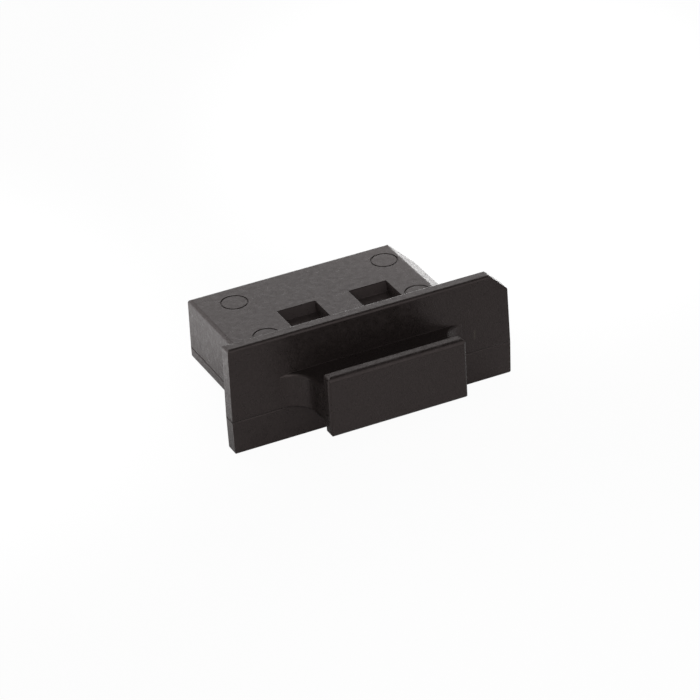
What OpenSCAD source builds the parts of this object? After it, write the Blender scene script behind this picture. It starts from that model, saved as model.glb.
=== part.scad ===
// Push-in dust plug for a rectangular chassis port with one keyed corner.
// One injection moulding: port body, cover flange, waisted neck and finger plate.
// The mould opens along Z. X runs along the flange, +Y goes into the port, +Z is up.
// The origin is on the back (seating) face of the flange, at the middle of the port body.

/* [Port body] */
// Width at the parting line
body_width = 20; // [16:0.1:26]
// Height from the underside to the top
body_height = 5.3; // [4.6:0.1:7]
// Length behind the flange
body_length = 11.15; // [9:0.05:18]
// Leg of the 45 degree keying chamfer on the top right edge
body_chamfer = 2.5; // [1:0.1:3]
// Rounding of the outer edges
body_rounding = 0.3; // [0.1:0.05:0.4]

/* [Flange] */
// Margin of the flange beyond each side of the body
flange_side_margin = 2; // [1:0.1:5]
// Margin of the flange above the body
flange_top_margin = 1.95; // [1:0.05:4]
// Margin of the flange below the body
flange_bottom_margin = 1.9; // [1:0.05:4]
// Thickness at the parting line
flange_thickness = 1.2; // [0.8:0.1:2]
// Leg of the 45 degree chamfer on the top right corner
flange_chamfer = 1.5; // [0.6:0.1:3]
// Rounding of the outer edges
flange_rounding = 0.25; // [0.1:0.05:0.3]

/* [Latch pockets] */
// Width of each pocket
pocket_width = 3.3; // [2:0.1:5]
// Distance between the centres of the two pockets
pocket_spacing = 6.2; // [5.4:0.1:9]
// Depth below the top of the body
pocket_depth = 1; // [0.4:0.05:1.5]
// Distance from the flange to the near wall
pocket_start = 1; // [0.2:0.1:2.5]
// Distance from the flange to the far wall
pocket_end = 5.7; // [3.5:0.1:7]

/* [Ejector marks] */
// Diameter of each ejector mark
ejector_diameter = 2.25; // [1.5:0.05:2.5]
// Distance of the left pair from the left side of the body
ejector_left_inset = 3; // [1.6:0.1:4]
// Distance of the right pair from the right side of the body
ejector_right_inset = 3.9; // [3.8:0.1:5]
// Distance of the front pair from the flange
ejector_front_inset = 2.7; // [1.5:0.1:3.5]
// Distance of the back pair from the back of the body
ejector_back_inset = 2.4; // [1.5:0.1:3.5]
// Width of the witness ring
ejector_ring_width = 0.12; // [0.06:0.02:0.2]
// Depth of the witness ring
ejector_ring_depth = 0.1; // [0.04:0.02:0.2]

/* [Finger grip] */
// Width of the finger plate
plate_width = 11.7; // [9:0.1:16]
// Height of the finger plate
plate_height = 5.2; // [4.2:0.1:7]
// Thickness of the finger plate
plate_thickness = 1; // [0.7:0.1:2]
// Rounding of the top and bottom edges at the front of the finger plate
plate_rounding = 0.4; // [0.15:0.05:0.45]
// Rounding of the upright edges at the front of the finger plate
plate_side_rounding = 0.25; // [0.1:0.05:0.45]
// Rounding of the edges at the back of the finger plate
plate_back_rounding = 0.15; // [0.05:0.05:0.25]
// Gap for the fingertips between the flange and the plate
grip_gap = 3.6; // [2.5:0.1:8]
// Distance of each side of the neck inside the side of the finger plate
neck_inset = 0.05; // [0:0.05:2]
// Height of the neck above the parting line, which its underside lies on
neck_height = 2.9; // [1.5:0.1:4]
// Radius of the side fillets where the neck meets the flange
neck_fillet = 2; // [0.5:0.05:2.4]
// Rounding of the top edges of the neck
neck_rounding = 0.25; // [0.1:0.05:0.5]

/* [Moulding] */
// Height of the parting line above the underside of the body
parting_height = 1; // [0.6:0.1:2.5]
// Draft of the port body
body_draft = 0.5; // [0:0.1:1.5]
// Draft of the front and the ends of the flange, whose back face stays flat to seat on the port's rim
flange_draft = 0.8; // [0:0.1:1.5]

/* [Hidden] */
$fn = 64;
overlap = 0.5;
through = 1;

body_bottom = -body_height / 2;
body_top = body_height / 2;
parting_z = body_bottom + parting_height;
flange_width = body_width + 2 * flange_side_margin;
flange_bottom = body_bottom - flange_bottom_margin;
flange_top = body_top + flange_top_margin;
flange_front = -flange_thickness;
plate_back = flange_front - grip_gap;
plate_front = plate_back - plate_thickness;
plate_bottom = (flange_bottom + flange_top - plate_height) / 2;
plate_top = plate_bottom + plate_height;
neck_side = plate_width / 2 - neck_inset;
neck_top = parting_z + neck_height;
neck_front = plate_back - plate_thickness / 2;
neck_back = flange_front + flange_thickness / 2;
fillet_x = neck_side + neck_fillet;
fillet_y = flange_front - neck_fillet;
ejector_x = [ejector_left_inset - body_width / 2, body_width / 2 - ejector_right_inset];
ejector_y = [ejector_front_inset, body_length - ejector_back_inset];

function unit(v) = v / norm(v);
function taper(draft, z) = abs(z - parting_z) * tan(draft);

// Convex outline with true arcs. Each corner is [x, y, radius], anticlockwise, and radius 0 stays sharp.
module rounded_outline(corners) {
    count = len(corners);
    points = [for (corner = corners) [corner.x, corner.y]];
    before = [for (i = [0:count - 1]) unit(points[(i + count - 1) % count] - points[i])];
    after = [for (i = [0:count - 1]) unit(points[(i + 1) % count] - points[i])];
    half = [for (i = [0:count - 1]) acos(before[i] * after[i]) / 2];
    polygon([
        for (i = [0:count - 1], side = corners[i].z > 0 ? [before[i], after[i]] : [before[i]])
            points[i] + side * corners[i].z / tan(half[i])
    ]);
    for (i = [0:count - 1])
        if (corners[i].z > 0)
            translate(points[i] + unit(before[i] + after[i]) * corners[i].z / sin(half[i]))
                circle(corners[i].z);
}

// Extrudes a front view (X, Z) from the plane Y = start.
module along_y(start, length)
    translate([0, start + length, 0])
        rotate([90, 0, 0])
            linear_extrude(length) children();

// Extrudes a side view (Y, Z) evenly to both sides of the middle.
module along_x(width)
    rotate([90, 0, 90])
        translate([0, 0, -width / 2])
            linear_extrude(width) children();

// Front view of a block with drafted ends that is widest at the parting line, with a top right chamfer.
module keyed_front_view(width, bottom, top, chamfer, draft, rounding) {
    side = width / 2;
    side_bottom = side - taper(draft, bottom);
    side_chamfer = side - taper(draft, top - chamfer);
    side_top = side - taper(draft, top);
    rounded_outline([
        [-side_bottom, bottom, rounding],
        [side_bottom, bottom, rounding],
        [side, parting_z, 0],
        [side_chamfer, top - chamfer, rounding],
        [side_chamfer - chamfer, top, rounding],
        [-side_top, top, rounding],
        [-side, parting_z, 0]
    ]);
}

// Waste outside a rounded edge. Its sharp corner is the origin, with the part below and to the left.
module edge_waste(rounding)
    translate([-rounding, -rounding])
        difference() {
            square(2 * rounding);
            circle(rounding);
        }

// The front face is drafted from the parting line. The back face is the flat seat.
module flange_solid()
    intersection() {
        along_y(flange_front - through, flange_thickness + 2 * through)
            keyed_front_view(flange_width, flange_bottom, flange_top, flange_chamfer,
                flange_draft, flange_rounding);
        along_x(flange_width + 2 * through)
            rounded_outline([
                [flange_front + taper(flange_draft, flange_bottom), flange_bottom, flange_rounding],
                [0, flange_bottom, flange_rounding],
                [0, flange_top, flange_rounding],
                [flange_front + taper(flange_draft, flange_top), flange_top, flange_rounding],
                [flange_front, parting_z, 0]
            ]);
    }

module body_solid()
    intersection() {
        along_y(-overlap, body_length + overlap + through)
            keyed_front_view(body_width, body_bottom, body_top, body_chamfer,
                body_draft, body_rounding);
        along_x(body_width + 2 * through)
            rounded_outline([
                [-through, body_bottom, 0],
                [body_length - taper(body_draft, body_bottom), body_bottom, body_rounding],
                [body_length, parting_z, 0],
                [body_length - taper(body_draft, body_top), body_top, body_rounding],
                [-through, body_top, 0]
            ]);
    }

module latch_pockets()
    for (side = [-1, 1])
        translate([(side * pocket_spacing - pocket_width) / 2, pocket_start, body_top - pocket_depth])
            cube([pocket_width, pocket_end - pocket_start, pocket_depth + through]);

module ejector_rings()
    for (x = ejector_x, y = ejector_y)
        translate([x, y, body_top - ejector_ring_depth])
            linear_extrude(ejector_ring_depth + through)
                difference() {
                    circle(d = ejector_diameter);
                    circle(d = ejector_diameter - 2 * ejector_ring_width);
                }

// Plan view: straight sides that flare to the flange in concave fillets.
module neck_plan()
    difference() {
        union() {
            translate([-neck_side, neck_front])
                square([2 * neck_side, neck_back - neck_front]);
            translate([-fillet_x, fillet_y])
                square([2 * fillet_x, neck_back - fillet_y]);
        }
        for (side = [-1, 1])
            translate([side * fillet_x, fillet_y])
                circle(neck_fillet);
    }

// Rounds the top right edge of the neck, along its straight side and then round the side fillet.
module neck_edge_waste() {
    along_y(neck_front - through, fillet_y - neck_front + through)
        translate([neck_side, neck_top])
            edge_waste(neck_rounding);
    translate([fillet_x, fillet_y, neck_top])
        rotate_extrude()
            translate([neck_fillet, 0])
                mirror([1, 0])
                    edge_waste(neck_rounding);
}

module neck_solid()
    difference() {
        translate([0, 0, parting_z])
            linear_extrude(neck_height) neck_plan();
        neck_edge_waste();
        mirror([1, 0, 0])
            neck_edge_waste();
    }

module plate_solid() {
    side = plate_width / 2;
    intersection() {
        along_y(plate_front - through, plate_thickness + 2 * through)
            rounded_outline([
                [-side, plate_bottom, plate_rounding],
                [side, plate_bottom, plate_rounding],
                [side, plate_top, plate_rounding],
                [-side, plate_top, plate_rounding]
            ]);
        along_x(plate_width + 2 * through)
            rounded_outline([
                [plate_front, plate_bottom, plate_rounding],
                [plate_back, plate_bottom, plate_back_rounding],
                [plate_back, plate_top, plate_back_rounding],
                [plate_front, plate_top, plate_rounding]
            ]);
        translate([0, 0, plate_bottom - through])
            linear_extrude(plate_height + 2 * through)
                rounded_outline([
                    [-side, plate_front, plate_side_rounding],
                    [side, plate_front, plate_side_rounding],
                    [side, plate_back, plate_back_rounding],
                    [-side, plate_back, plate_back_rounding]
                ]);
    }
}

module plug()
    color("#26211f")
        difference() {
            union() {
                flange_solid();
                body_solid();
                neck_solid();
                plate_solid();
            }
            latch_pockets();
            ejector_rings();
        }

plug();
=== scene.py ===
"""Looks of the dust plug: one satin black moulding on a white sweep.

All lengths are in metres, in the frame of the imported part.
"""

import math

import bpy
from mathutils import Matrix, Vector


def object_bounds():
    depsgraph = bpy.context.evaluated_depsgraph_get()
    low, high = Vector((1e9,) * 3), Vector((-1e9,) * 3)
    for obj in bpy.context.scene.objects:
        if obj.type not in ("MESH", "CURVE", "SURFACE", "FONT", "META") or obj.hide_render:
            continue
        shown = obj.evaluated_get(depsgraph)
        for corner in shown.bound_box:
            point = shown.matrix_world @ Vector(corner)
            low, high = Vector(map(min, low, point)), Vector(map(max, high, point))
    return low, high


MM = 0.001

# Camera
CAMERA_AZIMUTH = -24.36
CAMERA_ELEVATION = 30.07
CAMERA_ROLL = -3.47
CAMERA_DISTANCE = 280.4 * MM
CAMERA_LENS = 185.0
CAMERA_SENSOR = 36.0
AIM_FROM_CENTRE = Vector((-0.203, -0.263, -0.584)) * MM

# Stage
FLOOR_REACH = 600 * MM
SWEEP_LIT_AHEAD = 26 * MM
SWEEP_FADE = 30 * MM
FLOOR_WHITE = 0.9
FLOOR_SHADOW_SHOWN = 0.04
# Painted shade: the sweep's grey far ahead of the plug, seen only by light bounces
FLOOR_PAINTED_SHADE_AHEAD = 0.12
FOOT_BAND = 0.3 * MM
FOOT_CLEAR = 1 * MM
STUDIO_TONE = 0.01
PANEL_EDGE = 0.57
PANEL_CORE = 0.94
# Direction and strength of each white panel
PANELS = (
    ((-0.5, 0.85, 0.15), 1.5),
    ((0.75, 0.65, 0.15), 1.5),
    ((0, -1, 0.35), 1.0),
    ((-0.75, -0.65, 0.3), 0.4),
)
SPOT_SPREAD = 0.5
SPOT_BLEND = 0.8
SPOT_SOURCE = 8 * MM
# Place and aim from the middle of the plug in mm, and power in watts
SWEEP_SPOTS = (
    ((34, 36, 110), (26, 24, -4), 1.2),
    ((-44, 30, 110), (-32, 18, -4), 0.8),
    ((0, -50, 110), (0, -40, -4), 0.1),
)

# Plastic
PLASTIC_DARK = (0.015, 0.0120, 0.0112)
PLASTIC_LIGHT = (0.022, 0.0172, 0.0162)
PLASTIC_SHEEN_TINT = (1.0, 0.84, 0.83)
PLASTIC_IOR = 1.5
GRAIN_SIZE = 0.11 * MM
MOTTLE_SIZE = 0.45 * MM
NOISE_DETAIL = 3.0
NOISE_ROUGHNESS = 0.6
NOISE_RANGE = (0.3, 0.7)
MOTTLE_SHARE = 1.5
SKIN_RELIEF = 0.02 * MM
SKIN_STRENGTH = 0.6
MOTTLE_ROUGHNESS = (0.28, 0.42)
GRAIN_ROUGHNESS = (-0.04, 0.05)
EDGE_POLISH = 0.06 * MM
EDGE_POLISH_SAMPLES = 6

# Parting line, by its height above the lowest point
PARTING_UP = 2.9 * MM
PARTING_FROM = -2.5 * MM
PARTING_WIDTH = 0.11 * MM
PARTING_RELIEF = -0.08 * MM
PARTING_STRENGTH = 0.8
PARTING_DULLING = 0.6
PARTING_ON_FRONT = 0.22
PARTING_ON_SIDES = 0.95
SIDEWAYS = (0.2, 0.8)

# Pockets, whose walls and floors are painted paler: painted light standing in for the light that falls into
# them
BODY_TOP_UP = 7.2 * MM
POCKET_NEAR_WALL = 0.9 * MM
POCKET_FAR_WALL = 5.7 * MM
POCKET_REACH = 6 * MM
POCKET_DEPTH = 1.1 * MM
POCKET_MARGIN = 0.05 * MM
POCKET_WALL_PAINTED_LIGHT = (0.100, 0.084, 0.082)
POCKET_FLOOR_PAINTED_LIGHT = (0.050, 0.041, 0.039)

# Witness mark on the front of the flange
WITNESS_TONE = (0.045, 0.040, 0.033)
WITNESS_ACROSS = 8.9 * MM
WITNESS_ABOVE_PARTING = 1.5 * MM
WITNESS_FRONT = -1.2 * MM
WITNESS_FRONT_MARGIN = 0.15 * MM
WITNESS_HALF_WIDTH = (0.03 * MM, 0.12 * MM)
WITNESS_HALF_HEIGHT = (0.3 * MM, 0.5 * MM)


class Nodes:
    """Adds shader nodes to one material or world with short calls."""

    def __init__(self, owner):
        owner.use_nodes = True
        self.tree = owner.node_tree
        self.tree.nodes.clear()

    def add(self, kind, settings=None, **inputs):
        node = self.tree.nodes.new("ShaderNode" + kind)
        for name, value in (settings or {}).items():
            setattr(node, name, value)
        for name, value in inputs.items():
            self.set(node, name.replace("_", " "), value)
        return node

    def set(self, node, name, value):
        socket = node.inputs[int(name)] if name.isdigit() else node.inputs[name]
        if isinstance(value, bpy.types.NodeSocket):
            self.tree.links.new(value, socket)
        else:
            socket.default_value = value

    def math(self, operation, a, b=0.0, clamp=False):
        node = self.add("Math", {"operation": operation, "use_clamp": clamp})
        self.set(node, "0", a)
        self.set(node, "1", b)
        return node.outputs[0]

    def noise(self, place, size):
        return self.add("TexNoise", Vector=place, Scale=1 / size, Detail=NOISE_DETAIL,
                        Roughness=NOISE_ROUGHNESS).outputs["Fac"]

    def gap(self, a, b):
        return self.math("ABSOLUTE", self.math("SUBTRACT", a, b))

    def both(self, a, b):
        return self.math("MULTIPLY", a, b)

    def dot(self, a, b):
        node = self.add("VectorMath", {"operation": "DOT_PRODUCT"})
        self.set(node, "0", a)
        self.set(node, "1", b)
        return node.outputs["Value"]

    def ramp(self, value, low, high, to_low=0.0, to_high=1.0):
        """Smooth step of value from low..high to to_low..to_high."""
        node = self.add("MapRange", {"interpolation_type": "SMOOTHSTEP"}, Value=value)
        self.set(node, "From Min", low)
        self.set(node, "From Max", high)
        self.set(node, "To Min", to_low)
        self.set(node, "To Max", to_high)
        return node.outputs["Result"]


def rgba(rgb):
    return (*rgb, 1.0)


def rest_tilt(points):
    """Angle about X of the plane that the plug rests on, from its foot edge to its furthest low edge."""
    lowest = min(p.z for p in points)
    foot_y = max(p.y for p in points if p.z < lowest + FOOT_BAND)
    foot = Vector((0, foot_y, lowest))
    behind = [p for p in points if p.y > foot_y + FOOT_CLEAR]
    return min(math.atan2(p.z - foot.z, p.y - foot.y) for p in behind), foot


def floor_material():
    material = bpy.data.materials.new("white_sweep")
    n = Nodes(material)
    path = n.add("LightPath")
    place = n.add("TexCoord").outputs["Object"]
    # Painted shade: seen by light bounces, the sweep's grey falls from FLOOR_WHITE to a dark grey further
    # ahead of the plug, so the front faces mirror a dim sweep; the camera still sees it white.
    ahead = n.math("MULTIPLY", n.add("SeparateXYZ", Vector=place).outputs["Y"], -1.0)
    painted_shade_ahead = n.ramp(ahead, SWEEP_LIT_AHEAD, SWEEP_LIT_AHEAD + SWEEP_FADE, FLOOR_WHITE, FLOOR_PAINTED_SHADE_AHEAD)
    painted_shade_grey = n.add("CombineColor", Red=painted_shade_ahead, Green=painted_shade_ahead, Blue=painted_shade_ahead).outputs[0]
    painted_shade_bounce = n.add("BsdfDiffuse", Color=painted_shade_grey)
    shown = n.add("BsdfDiffuse", Color=rgba((FLOOR_WHITE,) * 3))
    white = n.add("Emission", Color=rgba((1.0, 1.0, 1.0)), Strength=1.0)
    to_camera = n.add("MixShader", Fac=FLOOR_SHADOW_SHOWN)
    n.set(to_camera, "1", white.outputs[0])
    n.set(to_camera, "2", shown.outputs[0])
    either = n.add("MixShader", Fac=path.outputs["Is Camera Ray"])
    n.set(either, "1", painted_shade_bounce.outputs[0])
    n.set(either, "2", to_camera.outputs[0])
    clear = n.add("BsdfTransparent")
    faced = n.add("MixShader", Fac=n.add("NewGeometry").outputs["Backfacing"])
    n.set(faced, "1", either.outputs[0])
    n.set(faced, "2", clear.outputs[0])
    n.add("OutputMaterial", Surface=faced.outputs[0])
    return material


def make_floor(points):
    tilt, foot = rest_tilt(points)
    bpy.ops.mesh.primitive_plane_add(size=2 * FLOOR_REACH)
    floor = bpy.context.object
    floor.name = "floor"
    floor.matrix_world = Matrix.Translation(foot) @ Matrix.Rotation(tilt, 4, "X")
    floor.data.materials.append(floor_material())


def make_world():
    """A dark studio with white panels round it. The camera itself sees plain white."""
    world = bpy.data.worlds.new("studio")
    bpy.context.scene.world = world
    n = Nodes(world)
    way = n.add("TexCoord").outputs["Generated"]
    strength = STUDIO_TONE
    for panel_way, tone in PANELS:
        facing = n.dot(way, Vector(panel_way).normalized())
        strength = n.math("ADD", n.ramp(facing, PANEL_EDGE, PANEL_CORE, 0.0, tone), strength)
    around = n.add("Background", Color=rgba((1.0, 1.0, 1.0)), Strength=strength)
    behind = n.add("Background", Color=rgba((1.0, 1.0, 1.0)), Strength=1.0)
    seen = n.add("MixShader", Fac=n.add("LightPath").outputs["Is Camera Ray"])
    n.set(seen, "1", around.outputs[0])
    n.set(seen, "2", behind.outputs[0])
    n.add("OutputWorld", Surface=seen.outputs[0])


def make_sweep_spot(name, place, aim, power):
    """Brightens a patch of the sweep beside the plug, which the plug's steep faces mirror."""
    light = bpy.data.lights.new(name, "SPOT")
    light.energy = power
    light.spot_size = SPOT_SPREAD
    light.spot_blend = SPOT_BLEND
    light.shadow_soft_size = SPOT_SOURCE
    lamp = bpy.data.objects.new(name, light)
    lamp.location = place
    lamp.rotation_euler = (aim - place).to_track_quat("-Z", "Y").to_euler()
    bpy.context.scene.collection.objects.link(lamp)


def make_camera(centre):
    azimuth, elevation = math.radians(CAMERA_AZIMUTH), math.radians(CAMERA_ELEVATION)
    back = Vector((
        math.sin(azimuth) * math.cos(elevation),
        -math.cos(azimuth) * math.cos(elevation),
        math.sin(elevation),
    ))
    data = bpy.data.cameras.new("camera")
    data.lens = CAMERA_LENS
    data.sensor_width = CAMERA_SENSOR
    data.clip_start = 10 * MM
    data.clip_end = 5.0
    camera = bpy.data.objects.new("camera", data)
    turn = (-back).to_track_quat("-Z", "Y").to_matrix().to_4x4()
    roll = Matrix.Rotation(math.radians(CAMERA_ROLL), 4, "Z")
    camera.matrix_world = Matrix.Translation(centre + AIM_FROM_CENTRE + back * CAMERA_DISTANCE) @ turn @ roll
    bpy.context.scene.collection.objects.link(camera)
    bpy.context.scene.camera = camera


def plastic(parting_z, body_top):
    """Satin black moulding: grain, mottle, polished edges, parting line, painted light on the pocket walls
    and floors, and a witness mark.
    """
    material = bpy.data.materials.new("black_plastic")
    n = Nodes(material)
    place = n.add("TexCoord").outputs["Object"]
    grain = n.noise(place, GRAIN_SIZE)
    mottle = n.noise(place, MOTTLE_SIZE)
    colour = n.add("MixRGB", Fac=mottle, Color1=rgba(PLASTIC_DARK), Color2=rgba(PLASTIC_LIGHT))
    rough = n.math("ADD", n.ramp(mottle, *NOISE_RANGE, *MOTTLE_ROUGHNESS),
                   n.ramp(grain, *NOISE_RANGE, *GRAIN_ROUGHNESS))
    round_edge = n.add("Bevel", {"samples": EDGE_POLISH_SAMPLES}, Radius=EDGE_POLISH)
    skin = n.math("ADD", grain, n.math("MULTIPLY", mottle, MOTTLE_SHARE))
    bump = n.add("Bump", Strength=SKIN_STRENGTH, Distance=SKIN_RELIEF, Height=skin,
                 Normal=round_edge.outputs[0])

    at = n.add("SeparateXYZ", Vector=place)
    across, along, height = at.outputs["X"], at.outputs["Y"], at.outputs["Z"]

    near_parting = n.ramp(n.gap(height, parting_z), 0.0, PARTING_WIDTH, 1.0, 0.0)
    line = n.both(near_parting, n.math("GREATER_THAN", along, PARTING_FROM))
    normal = n.add("SeparateXYZ", Vector=n.add("NewGeometry").outputs["Normal"])
    sideways = n.math("ABSOLUTE", normal.outputs["X"])
    flash = n.both(line, n.ramp(sideways, *SIDEWAYS, PARTING_ON_FRONT, PARTING_ON_SIDES))
    toned = n.add("MixRGB", Fac=flash, Color1=colour.outputs[0], Color2=rgba(PLASTIC_DARK))

    # Painted light: inside the pockets the walls and floors take paler colours in place of the light they
    # catch.
    pocket_painted_light_mask = n.both(
        n.math("LESS_THAN", height, body_top - POCKET_MARGIN),
        n.math("GREATER_THAN", height, body_top - POCKET_DEPTH),
    )
    pocket_painted_light_mask = n.both(pocket_painted_light_mask, n.math("LESS_THAN", n.math("ABSOLUTE", across), POCKET_REACH))
    pocket_painted_light_mask = n.both(pocket_painted_light_mask, n.math("GREATER_THAN", along, POCKET_NEAR_WALL))
    pocket_painted_light_mask = n.both(pocket_painted_light_mask, n.math("LESS_THAN", along, POCKET_FAR_WALL + POCKET_MARGIN))
    wall = n.math("LESS_THAN", n.gap(along, POCKET_FAR_WALL), POCKET_MARGIN)
    pocket_painted_light = n.add("MixRGB", Fac=wall, Color1=rgba(POCKET_FLOOR_PAINTED_LIGHT), Color2=rgba(POCKET_WALL_PAINTED_LIGHT))
    with_pocket_painted_light = n.add("MixRGB", Fac=pocket_painted_light_mask, Color1=toned.outputs[0], Color2=pocket_painted_light.outputs[0])

    beside = n.ramp(n.gap(across, WITNESS_ACROSS), *WITNESS_HALF_WIDTH, 1.0, 0.0)
    level = n.ramp(n.gap(height, parting_z + WITNESS_ABOVE_PARTING), *WITNESS_HALF_HEIGHT, 1.0, 0.0)
    on_front = n.math("LESS_THAN", n.gap(along, WITNESS_FRONT), WITNESS_FRONT_MARGIN)
    witness = n.both(n.both(beside, level), on_front)
    shade = n.add("MixRGB", Fac=witness, Color1=with_pocket_painted_light.outputs[0], Color2=rgba(WITNESS_TONE))

    groove = n.add("Bump", Strength=PARTING_STRENGTH, Distance=PARTING_RELIEF, Height=line,
                   Normal=bump.outputs[0])
    dulled = n.math("ADD", rough, n.math("MULTIPLY", flash, PARTING_DULLING), clamp=True)
    shader = n.add("BsdfPrincipled", Base_Color=shade.outputs[0], Roughness=dulled,
                   Normal=groove.outputs[0])
    n.set(shader, "IOR", PLASTIC_IOR)
    n.set(shader, "Specular Tint", rgba(PLASTIC_SHEEN_TINT))
    n.add("OutputMaterial", Surface=shader.outputs[0])
    return material


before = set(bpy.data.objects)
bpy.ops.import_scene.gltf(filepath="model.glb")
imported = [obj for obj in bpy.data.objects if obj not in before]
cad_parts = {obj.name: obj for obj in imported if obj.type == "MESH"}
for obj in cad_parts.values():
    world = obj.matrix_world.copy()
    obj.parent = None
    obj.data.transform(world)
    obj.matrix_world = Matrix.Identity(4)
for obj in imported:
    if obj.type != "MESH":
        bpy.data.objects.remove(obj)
cad_low, cad_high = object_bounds()
centre = (cad_low + cad_high) / 2

bpy.context.scene.view_settings.view_transform = "Standard"

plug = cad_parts["plug"]
plug.material_slots[0].material = plastic(cad_low.z + PARTING_UP, cad_low.z + BODY_TOP_UP)

make_floor([v.co for v in plug.data.vertices])
make_world()
for number, (place, aim, power) in enumerate(SWEEP_SPOTS):
    start, target = centre + Vector(place) * MM, centre + Vector(aim) * MM
    make_sweep_spot(f"sweep_{number}", start, target, power)
make_camera(centre)
